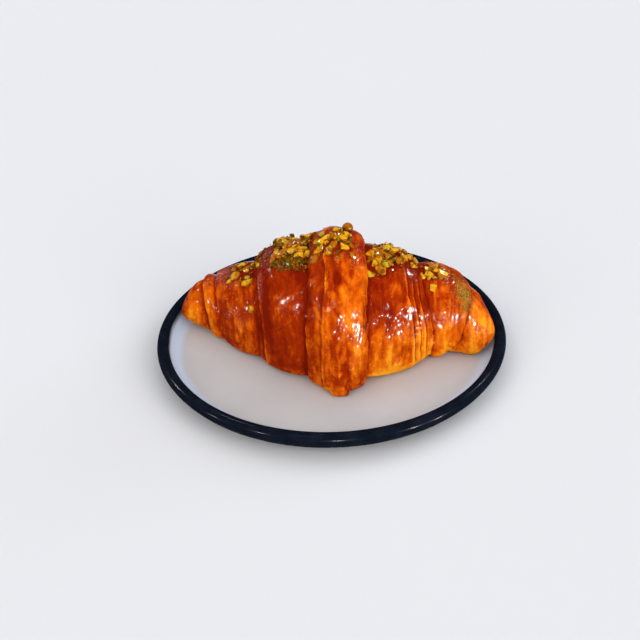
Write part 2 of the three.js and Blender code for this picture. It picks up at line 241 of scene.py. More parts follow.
# Chopped pistachio: X and degrees round the roll, 0 at the front and 90 on the ridge
NUT_SEED = 41
NUT_SINK = 0.22
SINGLE_NUTS = [
    dict(x=10.5, angle=103.0, size=5.2, tone=0.66, whole=True),
    dict(x=32.0, angle=99.0, size=6.0, tone=0.14),
    dict(x=63.5, angle=81.0, size=6.2, tone=0.24),
    dict(x=57.5, angle=58.5, size=4.6, tone=0.14),
    dict(x=-46.5, angle=63.0, size=6.4, tone=0.38),
    dict(x=-45.0, angle=32.0, size=4.4, tone=0.34),
    dict(x=-53.0, angle=78.0, size=5.0, tone=0.50),
]
NUT_PATCHES = table(
    "x angle count size",
    ((-31.0, -9.5), (76.0, 112.0), 20, (3.8, 6.0)),
    ((-60.0, -37.0), (68.0, 104.0), 9, (3.2, 4.8)),
    ((-9.0, 14.0), (70.0, 100.0), 14, (4.0, 6.4)),
    ((21.5, 32.0), (62.0, 100.0), 9, (4.0, 6.2)),
    ((30.0, 47.0), (76.0, 116.0), 11, (3.6, 5.6)),
    ((52.0, 66.0), (72.0, 98.0), 7, (3.6, 5.0)),
)
CHIP_TONES = (0.06, 0.66)
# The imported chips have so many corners, and one random number was drawn for each
PACKED_CORNERS = 12
# Chopping: how many flat cuts a lump gets, and how far from its middle
CUTS = (7, 11)
CUT_PLACES = (0.20, 0.38)
LUMP_ROUGHNESS = 0.012
SHARP_DEGREES = 22
SHAPE_SEED = 100
# The nodes pick a number up to this, and count round the shapes with it
HIGHEST_PICK = 99
# Smaller pieces between, on and below the chips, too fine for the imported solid. tone runs from
# green through yellow and amber to olive, and pile is how high they are heaped in millimetres.
FILL_PATCHES = table(
    "x angle count size tone pile",
    ((-33.0, -7.5), (70.0, 114.0), 96, (1.7, 3.9), (0.35, 1.0), 1.9),
    ((-61.0, -35.0), (66.0, 106.0), 34, (1.4, 3.2), (0.3, 1.0), 0.4),
    ((-8.0, 14.0), (69.0, 99.0), 50, (1.7, 4.0), (0.2, 1.0), 1.1),
    ((19.5, 34.0), (58.0, 104.0), 44, (1.7, 4.0), (0.2, 1.0), 1.3),
    ((28.0, 52.0), (70.0, 118.0), 56, (1.6, 3.8), (0.25, 1.0), 1.1),
    ((49.0, 69.0), (68.0, 104.0), 34, (1.4, 3.2), (0.0, 0.9), 0.4),
)
CRUMB_PATCHES = table(
    "x angle count size tone pile",
    ((-33.0, -8.5), (62.0, 81.0), 210, (0.9, 2.2), (0.7, 1.0), 0.6),
    ((-42.0, -6.0), (70.0, 124.0), 90, (0.8, 2.0), (0.6, 1.0), 0.3),
    ((-66.0, -34.0), (56.0, 114.0), 70, (0.6, 1.5), (0.5, 1.0), 0.0),
    ((-12.0, 17.0), (62.0, 104.0), 50, (0.7, 1.7), (0.4, 1.0), 0.2),
    ((18.0, 54.0), (56.0, 122.0), 90, (0.7, 1.8), (0.4, 1.0), 0.2),
    ((48.0, 74.0), (60.0, 118.0), 60, (0.6, 1.5), (0.0, 0.9), 0.0),
    ((69.5, 82.0), (30.0, 94.0), 360, (0.25, 0.7), (-0.1, 0.1), 0.0),
)

# The coat's reflection, weak enough to leave the crust its colour between the glints
THIN_COAT_IOR = 1.2

# Studio, in metres
FLOOR_SIZE = 30.0
WHITE = (1.0, 0.985, 0.97)
COOL = (0.6, 0.8, 1.0)
WARM = (1.0, 0.93, 0.85)
SKY_TINT = (0.75, 0.87, 1.0)
# The heights, as shares of the way up, between which the horizon turns into even light
HORIZON = (0.04, 0.16)


def level_direction(azimuth):
    """The way towards a light just above the horizon, turned from the front to the right."""
    turn = math.radians(azimuth)
    return math.sin(turn), -math.cos(turn), 0.05


# Broad lights only shade matt surfaces. Breadth is in degrees.
BROAD_LIGHTS = table(
    "name direction breadth colour",
    ("key", (0.60, -0.70, 0.40), 40.0, WHITE),
    ("left", (-0.55, -0.66, 0.52), 40.0, WHITE),
    ("top", (0.10, -0.25, 0.96), 120.0, WHITE),
    ("back", (0.75, 0.50, 0.40), 30.0, COOL),
)
# Glints only shine in gloss, each with its share of the small lights' strength
GLINTS = table(
    "name direction breadth share",
    ("right_glint_0", level_direction(2.0), 3.0, 1.1),
    ("right_glint_1", level_direction(46.0), 3.0, 1.1),
    ("right_glint_2", level_direction(62.0), 3.0, 1.1),
    ("left_glint", (-0.66, -0.68, 0.34), 3.0, 0.5),
    ("end_glint", (-0.95, -0.25, 0.25), 2.0, 0.35),
    ("left_ridge_glint", (-0.76, 0.41, 0.51), 2.0, 0.4),
    ("right_ridge_glint", (0.56, 0.47, 0.67), 2.0, 0.25),
    ("crown_glint", (-0.20, -0.30, 0.93), 2.0, 0.07),
    ("back_glint", (-0.30, 0.45, 0.84), 2.0, 0.15),
)

# Camera: the photograph's, 600 mm from the middle of the plate's floor
CAMERA_DISTANCE = 0.6
CAMERA_ELEVATION = 34.31
CAMERA_ROLL = -1.82
FOCAL_PIXELS = 1005.5
FRAME_PIXELS = 640
PLATE_PIXEL = (331.5, 339.6)
SENSOR = 36.0


def clamp(value, low=0.0, high=1.0):
    return np.clip(value, low, high)


def mix(a, b, t):
    return a + (b - a) * t


def smooth(t):
    t = clamp(t)
    return t * t * (3 - 2 * t)


def window(value, low, high, edge):
    """1 between low and high, fading to 0 within the edge inside them."""
    return smooth((value - low) / edge) * smooth((high - value) / edge)


def quarter_round(t):
    return np.sqrt(1 - (1 - clamp(t)) ** 2)


def signed_power(value, power):
    return np.sign(value) * np.abs(value) ** power


class Perlin:
    """Smooth noise between about -1 and 1, the same on each run."""

    def __init__(self, seed):
        rng = np.random.default_rng(seed)
        self.table = rng.permutation(256)
        gradients = rng.normal(size=(256, 3))
        self.gradients = gradients / np.linalg.norm(gradients, axis=1, keepdims=True)

    def __call__(self, x, y, z=0.0):
        x, y, z = np.broadcast_arrays(x, y, z)
        cell = [np.floor(v).astype(int) for v in (x, y, z)]
        part = [v - c for v, c in zip((x, y, z), cell)]
        fade = [p * p * p * (p * (p * 6 - 15) + 10) for p in part]
        total = 0.0
        for corner in range(8):
            bits = (corner & 1, corner >> 1 & 1, corner >> 2 & 1)
            index = 0
            for c, b in zip(cell, bits):
                index = self.table[(index + c + b) & 255]
            gradient = self.gradients[index]
            dot = sum(gradient[..., k] * (part[k] - bits[k]) for k in range(3))
            weight = 1.0
            for f, b in zip(fade, bits):
                weight = weight * (f if b else 1 - f)
            total = total + weight * dot
        return total * 1.6


def random_from(seed):
    """Repeatable random numbers from 0 to 1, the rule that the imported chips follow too."""
    state = seed

    def draw():
        nonlocal state
        state = (state * 1664525 + 1013904223) % 4294967296
        return state / 4294967296

    return draw


def along_roll(x, key):
    xs = STATIONS[:, 0]
    values = STATIONS[:, key]
    slopes = np.gradient(values, xs)
    i = np.clip(np.searchsorted(xs, x, side="left") - 1, 0, len(xs) - 2)
    run = xs[i + 1] - xs[i]
    t = (x - xs[i]) / run
    return (
        (2 * t**3 - 3 * t**2 + 1) * values[i]
        + (t**3 - 2 * t**2 + t) * run * slopes[i]
        + (-2 * t**3 + 3 * t**2) * values[i + 1]
        + (t**3 - t**2) * run * slopes[i + 1]
    )


def end_fullness(x):
    inwards = clamp(np.minimum(x - LEFT_END, RIGHT_END - x) / END_ROUNDING)
    return (1 - (1 - inwards) ** END_POWER) ** (1 / END_POWER)


def lip_x(lip, angle):
    s = np.sin(angle)
    below = mix(lip["front"], lip["foot"], np.abs(s) ** lip.get("sweep", SWEEP))
    above = mix(lip["front"], lip["crest"], np.abs(s) ** CREST_SWEEP)
    return np.where(s < 0, below, above)


def lip_rise(lip, distance, wander=0.0):
    """How far the layers behind a lip stand up. Each next layer wanders by some millimetres."""
    first = lip.get("first", 1 / lip["layers"])
    rise = 0.0
    for layer in range(lip["layers"]):
        start = layer * (lip["step"] + wander)
        share = (1 - first) / (lip["layers"] - 1) if layer else first
        rise = rise + quarter_round((distance - start) / lip["run"]) * lip["rise"] * share
    return rise


def wrap_span(wrap, angle):
    left = lip_x(wrap["left"], angle) if wrap["left"] else np.full_like(angle, LEFT_END)
    right = lip_x(wrap["right"], angle) if wrap["right"] else np.full_like(angle, RIGHT_END)
    return left, right


def wrap_rise(wrap, share, length, wander=0.0):
    """How far the dough stands above the bare roll; share is 0 at the wrap's left edge."""
    if wrap["kind"] == "end":
        outwards = 1 - share if wrap["side"] < 0 else share
        return END_SWELL * np.sin(np.pi * clamp(outwards) ** 1.3) + 0 * length
    if wrap["kind"] == "middle":
        left = lip_rise(wrap["left"], share * length, wander)
        right = lip_rise(wrap["right"], (1 - share) * length, wander)
        swell = wrap["left"]["bulge"] * np.sin(np.pi * clamp(share))
        return mix(left, right, smooth(share)) + swell
    lip = wrap["left"] if wrap["side"] < 0 else wrap["right"]
    back = share if wrap["side"] < 0 else 1 - share
    swell = lip["bulge"] * np.sin(np.pi * clamp(back * 0.9 + 0.05))
    return lip_rise(lip, back * length, wander) - lip["rise"] * clamp(back) ** 1.4 + swell


def lift_at(x):
    left = LEFT_LIFT["by"] * smooth((LEFT_LIFT["start"] - x) / LEFT_LIFT["over"])
    return left + RIGHT_LIFT["by"] * smooth((x - RIGHT_LIFT["start"]) / RIGHT_LIFT["over"])


def crust_point(x, angle, rise):
    """A point of the crust in millimetres, rise outside the bare roll."""
    height = along_roll(x, HEIGHT)
    fullness = end_fullness(x)
    cos = np.cos(angle)
    sin = np.sin(angle)
    belly = height * along_roll(x, BELLY)
    # The sole sinks a little deeper where the roll is high. A power below 1 makes the section
    # squarer, which it is most under the middle.
    sole = belly + 2 * smooth((height - 20) / 20)
    squareness = 0.85 - 0.35 * smooth(1.25 - np.abs(x - WIDEST_X) / 85)
    power = np.where(sin < 0, squareness, 0.95)
    near_middle = np.exp(-(((x - CHIN["x"]) / CHIN["half"]) ** 2))
    chin = CHIN["reach"] * near_middle * smooth(clamp(cos) * 1.4) * smooth(0.5 - sin * 0.9)
    width = along_roll(x, HALF_WIDTH) * fullness + rise
    forward = width * signed_power(cos, power) + chin
    up = (height - belly) * fullness + rise
    down = sole * fullness + rise * 0.4
    z = belly + lift_at(x) + np.where(sin < 0, down, up) * signed_power(sin, power)
    forward, z = tongue(x, sin, cos, forward, z, width + chin, belly, down)
    # Nothing comes closer to the plate than the gap, and the sole turns there softly
    turn = PLATE_GAP + SOLE_SOFTNESS
    low = PLATE_GAP + SOLE_SOFTNESS * np.exp(np.minimum((z - turn) / SOLE_SOFTNESS, 0.0))
    z = np.where(z < turn, low, z)
    return np.stack([x + 0 * z, along_roll(x, AXIS_Y) - forward, z + FLOOR_TOP], -1)


def tongue(x, sin, cos, forward, z, reach, belly, down):
    """The middle strip's square end: its front runs down to the plate instead of curving in."""
    inside = window(x, TONGUE["left"], TONGUE["right"], TONGUE["edge"])
    inside = inside * (sin < 0) * smooth(cos * 12)
    depth = clamp(-sin / TONGUE["sole"])
    inwards = clamp((-sin - TONGUE["sole"]) / (1 - TONGUE["sole"]))
    straight = reach * mix(1.0, TONGUE["foot"], depth**1.6) * (1 - inwards)
    return mix(forward, straight, inside), mix(z, belly - down * depth, inside)


def crust_at(x, angle):
    """The point of the crust at one X and angle, whichever wrap is there."""
    x = np.asarray(float(x))
    angle = np.asarray(float(angle))
    for wrap in WRAPS:
        left, right = wrap_span(wrap, angle)
        if x <= right or wrap is WRAPS[-1]:
            rise = wrap_rise(wrap, (x - left) / (right - left), right - left)
            return Vector(crust_point(x, angle, rise))


def link(obj):
    bpy.context.scene.collection.objects.link(obj)
    return obj


def mesh_from_rings(name, rings, start, end, attributes):
    """A closed mesh over rings of points, with one more point at each end. Sizes in millimetres."""
    rows, columns, _ = rings.shape
    points = np.concatenate([[start], rings.reshape(-1, 3), [end]]) * MM
    ring = np.arange(columns)
    following = (ring + 1) % columns
    base = 1 + np.arange(rows - 1)[:, None] * columns
    quad = (ring, columns + ring, columns + following, following)
    quads = np.stack([base + corner for corner in quad], -1).reshape(-1, 4)
    last = 1 + (rows - 1) * columns
    first_fan = np.stack([np.zeros_like(ring), 1 + ring, 1 + following], -1)
    last_fan = np.stack([np.full_like(ring, len(points) - 1), last + following, last + ring], -1)
    mesh = bpy.data.meshes.new(name)
    mesh.vertices.add(len(points))
    mesh.vertices.foreach_set("co", points.astype(np.float32).ravel())
    corners = np.concatenate([quads.ravel(), first_fan.ravel(), last_fan.ravel()])
    mesh.loops.add(len(corners))
    mesh.loops.foreach_set("vertex_index", corners.astype(np.int32))
    sizes = np.concatenate([np.full(len(quads), 4), np.full(2 * columns, 3)])
    mesh.polygons.add(len(sizes))
    mesh.polygons.foreach_set("loop_start", (np.cumsum(sizes) - sizes).astype(np.int32))
    mesh.polygons.foreach_set("use_smooth", np.ones(len(sizes), bool))
    for key, values in attributes.items():
        whole = np.concatenate([[values[0].mean()], values.ravel(), [values[-1].mean()]])
        layer = mesh.attributes.new(key, "FLOAT", "POINT")
        layer.data.foreach_set("value", whole.astype(np.float32))
    mesh.update(calc_edges=True)
    mesh.validate()
    return link(bpy.data.objects.new(name, mesh))


def math_node(operation, reflected=False):
    """A method that adds a Math node for a wire and another wire or a number."""

    def add_node(self, other):
        node = self.graph.tree.nodes.new("ShaderNodeMath")
        node.operation = operation
        values = (other, self) if reflected else (self, other)
        for socket, value in zip(node.inputs, values):
            self.graph.feed(socket, value)
        return Wire(self.graph, node.outputs[0])

    return add_node


class Wire:
    """A socket of a node. Sums, products and powers of it add the nodes that work them out."""

    def __init__(self, graph, socket):
        self.graph = graph
        self.socket = socket

    __add__ = math_node("ADD")
    __radd__ = math_node("ADD", reflected=True)
    __sub__ = math_node("SUBTRACT")
    __rsub__ = math_node("SUBTRACT", reflected=True)
    __mul__ = math_node("MULTIPLY")
    __rmul__ = math_node("MULTIPLY", reflected=True)
    __pow__ = math_node("POWER")
    __rpow__ = math_node("POWER", reflected=True)


class Graph:
    """Adds nodes to a tree and links them."""

    def __init__(self, tree):
        self.tree = tree

    def feed(self, socket, value):
        if isinstance(value, Wire):
            self.tree.links.new(value.socket, socket)
        elif socket.type == "RGBA":
            socket.default_value = (*value, 1.0)[:4]
        else:
            socket.default_value = value

    def node(self, kind, settings=None, values=None, output=0):
        """A node of any kind: its settings are set first, then its sockets' values or links."""
        node = self.tree.nodes.new(kind)
        for key, value in (settings or {}).items():
            if key == "stops":
                self.set_stops(node.color_ramp, value)
            else:
                setattr(node, key, value)
        for key, value in (values or {}).items():
            socket = next(s for s in node.inputs if key in (s.identifier, s.name))
            self.feed(socket, value)
        if isinstance(output, int):
            return Wire(self, node.outputs[output])
        return Wire(self, next(s for s in node.outputs if output in (s.identifier, s.name)))

    @staticmethod
    def set_stops(ramp, stops):
        while len(ramp.elements) < len(stops):
            ramp.elements.new(1.0)
        for element, (position, colour) in zip(ramp.elements, stops):
            element.position = position
            element.color = (*colour, 1.0)

    def between(self, value, low, high):
        """0 below low, 1 above high, and a smooth step between."""
        values = {"Value": value, "From Min": low, "From Max": high}
        return self.node("ShaderNodeMapRange", {"interpolation_type": "SMOOTHSTEP"}, values)

    def mix(self, factor, a, b):
        values = {"Factor_Float": factor, "A_Color": a, "B_Color": b}
        return self.node("ShaderNodeMix", {"data_type": "RGBA"}, values, "Result_Color")


class MaterialGraph(Graph):
    """A material's node tree, ending in one Principled shader."""

    def __init__(self, name):
        self.material = bpy.data.materials.new(name)
        self.material.use_nodes = True
        super().__init__(self.material.node_tree)
        self.tree.nodes.clear()
        self.place = self.node("ShaderNodeTexCoord", output="Object")

    def noise(self, scale, detail=2.0, roughness=0.5, stretch=None):
        """Noise from 0 to 1 in the object's space, drawn out along an axis where stretch is low."""
        place = self.place
        if stretch:
            place = self.node("ShaderNodeMapping", {}, {"Vector": place, "Scale": stretch})
        values = {"Vector": place, "Scale": scale, "Detail": detail, "Roughness": roughness}
        return self.node("ShaderNodeTexNoise", {}, values)

    def attribute(self, name):
        return self.node("ShaderNodeAttribute", {"attribute_name": name}, output="Fac")

    def colours(self, factor, stops):
        return self.node("ShaderNodeValToRGB", {"stops": stops}, {"Fac": factor})

    def finish(self, values, bump=None):
        """The finished material; bump is a height with the distance that it stands for."""
        if bump:
            inputs = {"Height": bump[0], "Distance": bump[1], "Strength": 1.0}
            values["Normal"] = self.node("ShaderNodeBump", {}, inputs)
        shader = self.node("ShaderNodeBsdfPrincipled", {}, {"Specular IOR Level": 0.0, **values})
        out = self.tree.nodes.new("ShaderNodeOutputMaterial")
        self.feed(out.inputs["Surface"], shader)
        return self.material


def crust_material(settings):
    g = MaterialGraph("baked_crust")
    # Scales are per metre, and a low stretch in Y and Z draws the marks out round the roll
    bands = g.noise(150.0, 2.0, 0.55, (1.0, 0.14, 0.14)) - 0.5
    patches = g.noise(110.0, 3.0, 0.6) - 0.5
    mottle = g.noise(380.0, 3.0, 0.6, (1.0, 0.5, 0.5)) - 0.5
    streaks = g.noise(340.0, 2.0, 0.55, (1.0, 0.10, 0.10)) - 0.5
    flecks = g.between(g.noise(620.0), 0.60, 0.72)
    depth = g.attribute("bake") + bands * 0.5 + streaks * 0.4 + patches * 0.4 + mottle * 0.6
    # Painted shade darkens the creases and the grooves before layer edges
    depth = depth + g.attribute("crease") * 0.36 - g.attribute("lip") * 0.20 - flecks * 0.18
    stops = [(0.06, settings.gold), (0.30, settings.amber), (0.60, settings.russet)]
    colour = g.colours(depth, [*stops, (0.88, settings.dark)])
    dust = g.attribute("dust") * g.between(g.noise(800.0, 3.0, 0.6), 0.35, 0.65)
    colour = g.mix(dust * 0.75, colour, settings.dust)
    glaze = g.attribute("glaze")
    beads = g.between(g.noise(780.0), 0.60, 0.70)
    # Pale specks on the pooled glaze are painted glints, as of highlights on its small beads
    painted_glint_specks = g.between(g.noise(820.0, 2.0, 0.55), 0.63, 0.70) * g.between(glaze, 0.3, 0.8)
    values = {
        "Base Color": g.mix(painted_glint_specks * 0.32, colour, settings.painted_glint_colour),
        "Roughness": g.between(g.noise(260.0), 0.35, 0.7) * 0.16 + 0.3,
        "Coat Weight": glaze + beads * 0.15,
        "Coat Roughness": 0.09,
        "Coat IOR": THIN_COAT_IOR,
    }
    grain = g.noise(900.0, 2.0, 0.55, (1.0, 0.4, 0.4))
    return g.finish(values, (grain, 0.25 * MM))


def nut_material(settings):
    g = MaterialGraph("chopped_pistachio")
    spots = g.noise(420.0, 3.0, 0.6) - 0.5
    stops = [(0.02, settings.green), (0.16, settings.yellow), (0.34, settings.yellow)]
    stops += [(0.50, settings.amber), (0.68, settings.amber), (0.84, settings.olive)]
    colour = g.colours(g.attribute("tone") + spots * 0.6, stops)
    # Dark syrup on patches of skin, and painted shade in the gaps, where the chips are low
    skin = g.between(g.noise(230.0), 0.56, 0.66)
    colour = g.mix(skin * 0.7, colour, settings.syrup_and_gap_shade)
    painted_gap_shade = g.between(g.attribute("level") + spots * 0.35, 0.62, 0.34)
    values = {
        "Base Color": g.mix(painted_gap_shade * 0.85, colour, settings.syrup_and_gap_shade),
        "Roughness": 0.45,
        "Coat Weight": 0.5,
        "Coat Roughness": 0.14,
        "Coat IOR": THIN_COAT_IOR,
    }
    return g.finish(values, (g.noise(1100.0, 3.0, 0.6), 0.4 * MM))


def glaze_material(settings):
    g = MaterialGraph("plate_glaze")
    # Dark outside the wall's upper edge and under the floor, with a wavering border
    x, y, z = (g.node("ShaderNodeSeparateXYZ", {}, {"Vector": g.place}, axis) for axis in "XYZ")
    radius = (x * x + y * y) ** 0.5
    waver = (g.noise(60.0) - 0.5) * (0.9 * MM)
    rim = PLATE_RADIUS - RIM_THICKNESS
    past_wall = g.between(radius + waver, (rim - 0.6) * MM, (rim + 0.5) * MM)
    under = g.between(z, (FLOOR_TOP - 0.6) * MM, (FLOOR_TOP - 1.6) * MM)
    mask = past_wall + under - past_wall * under
    # The wall's cool blue colour is partly a painted reflection of blue sky
    wall = g.between(radius, (FLOOR_RADIUS - 1.0) * MM, (FLOOR_RADIUS + 4.0) * MM)
    cloud = g.between(g.noise(26.0, 3.0, 0.55), 0.35, 0.65)
    warm = [c * 0.94 for c in settings.inside]
    inside = g.mix(wall, g.mix(cloud, settings.inside, warm), settings.wall)
    mottle = g.between(g.noise(140.0, 3.0, 0.6), 0.4, 0.75)
    values = {
        "Base Color": g.mix(mask, inside, g.mix(mottle, settings.rim, settings.rim_mottle)),
        "Roughness": mask * -0.14 + 0.36,
        "Coat Weight": mask * -0.22 + 0.3,
        "Coat Roughness": 0.16,
        "Coat IOR": THIN_COAT_IOR,
    }
    return g.finish(values, (g.noise(45.0), 0.3 * MM))


def stage_material(settings):
    g = MaterialGraph("pale_floor")
    light = [min(1.0, c * 1.03) for c in settings.floor]
    return g.finish({"Base Color": g.mix(g.noise(3.0), settings.floor, light), "Roughness": 0.6})


def plate_profile():
    """The plate's outline, from its underside's middle round the rim to its floor's middle."""
    tube = RIM_THICKNESS / 2
    rim_middle = PLATE_RADIUS - tube
    foot_inner = FOOT_RADIUS - FOOT_WIDTH / 2
    foot_outer = FOOT_RADIUS + FOOT_WIDTH / 2
    start = -math.pi / 4
    rim_start = (rim_middle + tube * math.cos(start), RIM_LEVEL + tube * math.sin(start))

    def line(a, b, steps):
        t = np.linspace(0, 1, steps, endpoint=False)[:, None]
        return np.array(a) + (np.array(b) - np.array(a)) * t

    def curve(a, control, b, steps):
        t = np.linspace(0, 1, steps, endpoint=False)[:, None]
        return (1 - t) ** 2 * np.array(a) + 2 * t * (1 - t) * np.array(control) + t**2 * np.array(b)

    turn = np.linspace(start, math.pi, 40, endpoint=False)
    arc = np.stack([rim_middle + tube * np.cos(turn), RIM_LEVEL + tube * np.sin(turn)], 1)
    recess = (foot_inner - 1.0, FOOT_RECESS)
    outer_foot = (foot_outer + 1.5, FLOOR_UNDERSIDE)
    wall_foot = (FLOOR_RADIUS + 2, FLOOR_UNDERSIDE + 0.6)
    wall_top = (rim_middle - tube, RIM_LEVEL)
    floor_edge = (FLOOR_RADIUS, FLOOR_TOP)
    return np.concatenate(
        [
            line((HUB_RADIUS, FOOT_RECESS), recess, 12),
            curve(recess, (foot_inner - 0.2, FOOT_RECESS), (foot_inner, 0.5), 5),
            curve((foot_inner, 0.5), (foot_inner + 0.1, 0.0), (foot_inner + 0.7, 0.0), 4),
            line((foot_inner + 0.7, 0.0), (foot_outer - 0.7, 0.0), 3),
            curve((foot_outer - 0.7, 0.0), (foot_outer, 0.0), (foot_outer + 0.2, 0.6), 4),
            curve((foot_outer + 0.2, 0.6), (foot_outer + 0.5, FLOOR_UNDERSIDE), outer_foot, 5),
            line(outer_foot, wall_foot, 8),
            curve(wall_foot, (rim_middle - 0.5, FLOOR_UNDERSIDE + 2), rim_start, 14),
            arc,
            curve(wall_top, (rim_middle - tube - 1, FLOOR_TOP), floor_edge, 24),
            line(floor_edge, (HUB_RADIUS, FLOOR_TOP), 24),
            [(HUB_RADIUS, FLOOR_TOP)],
        ]
    )


def lips_of(wrap):
    """Whether the wrap's own lip is at its left edge, and whether one is at its right."""
    is_end = wrap["kind"] == "end"
    return not is_end and wrap["side"] <= 0, not is_end and wrap["side"] >= 0


def wrap_rows(wrap, spacing):
    """Shares of a wrap's length for its rows of points, with more rows on each layer's step."""
    left, right = wrap_span(wrap, np.array([0.0]))
    length = float(right[0] - left[0])
    count = max(8, int(length / spacing))
    if wrap["kind"] == "end":
        turn = np.linspace(0, np.pi / 2, count + 1)
        return (1 - np.cos(turn))[1:] if wrap["side"] < 0 else np.sin(turn)[:-1]
    rows = set(np.round(np.linspace(0, 1, count + 1), 6))
    for edge, has_lip in zip(("left", "right"), lips_of(wrap)):
        lip = wrap[edge]
        for layer in range(lip["layers"] if has_lip else 0):
            for part in (0.0, 0.04, 0.15, 0.4, 0.7, 1.0):
                share = (layer * lip["step"] + part * lip["run"]) / length
                rows.add(round(share if edge == "left" else 1 - share, 6))
    return np.array(sorted(r for r in rows if 0 <= r <= 1))


def wrap_grid(wrap, shares, angle, wander):
    """X and rise of a wrap's points, with the rows under its own lips and its neighbours' lips."""
    left, right = wrap_span(wrap, angle)
    share = np.broadcast_to(shares[:, None], (len(shares), len(angle)))
    rise = wrap_rise(wrap, share, right - left, wander)
    rows = [(left + (right - left) * share, rise)]
    tuck = np.linspace(0, 1, 6)[1:, None]
    under = np.array([1.0, 0.5])[:, None]
    left_lip, right_lip = lips_of(wrap)
    if left_lip:
        rows.insert(0, (left + LIP_UNDERCUT * under, rise[:1] - LIP_DEPTH * under))
    elif wrap["left"]:
        down = TUCK_DEPTH * tuck[::-1] ** 0.6
        rows.insert(0, (left - TUCK_LENGTH * tuck[::-1], rise[:1] - down))
    if right_lip:
        rows.append((right - LIP_UNDERCUT * under[::-1], rise[-1:] - LIP_DEPTH * under[::-1]))
    elif wrap["right"]:
        rows.append((right + TUCK_LENGTH * tuck, rise[-1:] - TUCK_DEPTH * tuck**0.6))
    return (
        np.concatenate([np.broadcast_to(r, (len(r), len(angle))) for r in part])
        for part in zip(*rows)
    )


def surface_normals(points):
    across = np.gradient(points, axis=0)
    padded = np.concatenate([points[:, -1:], points, points[:, :1]], 1)
    around = (padded[:, 2:] - padded[:, :-2]) / 2
    normals = np.cross(across, around)
    size = np.linalg.norm(normals, axis=2, keepdims=True)
    return normals / np.maximum(size, 1e-9)


def folded_skin(x, angle, radius, noise):
    """Height of the folded patches in millimetres, and how much glaze lies in them."""
    relief = 0.0
    glaze = THIN_GLAZE
    for fold in FOLDS:
        across = x - fold["x"]
        around = (angle - math.radians(fold["angle"])) * radius
        lean = math.radians(fold["lean"])
        over = around * math.cos(lean) - across * math.sin(lean)
        bend = noise(x / 4.0, around / 5.0, fold["x"]) * 0.45
        near = (across / fold["wide"]) ** 2 + (around / fold["high"]) ** 2
        turn = 2 * np.pi * (over / fold["pitch"] + bend)
        waves = fold["depth"] * (np.sin(turn) + 0.28 * np.sin(turn * 1.9 + 1.0))
        flat = fold["flat"] * around**2 / (2 * radius)
        relief = relief + np.exp(-near) * (waves - fold["tip"] * around + flat)
        ragged = noise(x / 1.8, around / 2.6, fold["angle"]) * 0.9
        glaze = glaze + smooth((1.15 - near + ragged) / 0.6)
    back = smooth((np.degrees(angle) - BACK_ANGLE) / BACK_FADE)
    pools = smooth((noise(x / 8.0, angle * radius / 9.0, 3.7) - 0.1) / 0.15)
    return relief, np.minimum(glaze + back * pools, 1.0)


def skin_relief(wrap, x, arc, from_lip, noise):
    """Height of the crust's own relief in millimetres. Noise scales are in millimetres too."""
    seed = WRAPS.index(wrap) * 7.3
    across = x + noise(x / 13, arc / 15, seed + 21) * 5.0
    round_roll = arc + noise(x / 7, arc / 8, seed + 23) * 4.0
    lumps = noise(x / 14, arc / 17, seed) * 0.6
    blisters = np.abs(noise(across / 5.2, round_roll / 6.4, seed + 3)) * 1.2
    patch = smooth(noise(x / 9, arc / 12, seed + 5) * 1.5 + 0.5)
    crinkles = np.abs(noise(across / 3.1, round_roll / 7.0, seed + 9)) * 0.45 * patch
    pimples = np.abs(noise(x / 1.7, arc / 2.0, seed + 12)) * 0.12
    # Fine layer lines 1.1 mm apart, which fade away from the lip
    lines = np.sin(from_lip * 2 * np.pi / 1.1 + noise(x / 6, arc / 16, seed + 15) * 3)
    strength = smooth(0.3 + noise(arc / 9, seed + 17) * 1.6) * 0.09
    layers = lines * strength * np.exp(-from_lip / 3.0)
    skin = (blisters - 0.36) * 0.8 + (crinkles + pimples - 0.2)
    return lumps + skin * wrap["crinkle"] + layers


def layer_steps(wrap, from_left, from_right, wander):
    """1 on the edge of each layer that shows behind a lip, and 1 in the groove in front of it."""
    edge = 0.0
    groove = 0.0
    for lip, distance in ((wrap["left"], from_left), (wrap["right"], from_right)):
        for layer in range(1, lip["layers"] if lip else 0):
            past = distance - layer * (lip["step"] + wander)
            crest = np.exp(-(((past - lip["run"] * 0.8) / 0.7) ** 2))
            edge = edge + crest * lip.get("edge", 1.0)
            groove = groove + np.exp(-(((past + 0.1) / 0.4) ** 2)) * lip.get("groove", 1.0)
    return edge, groove


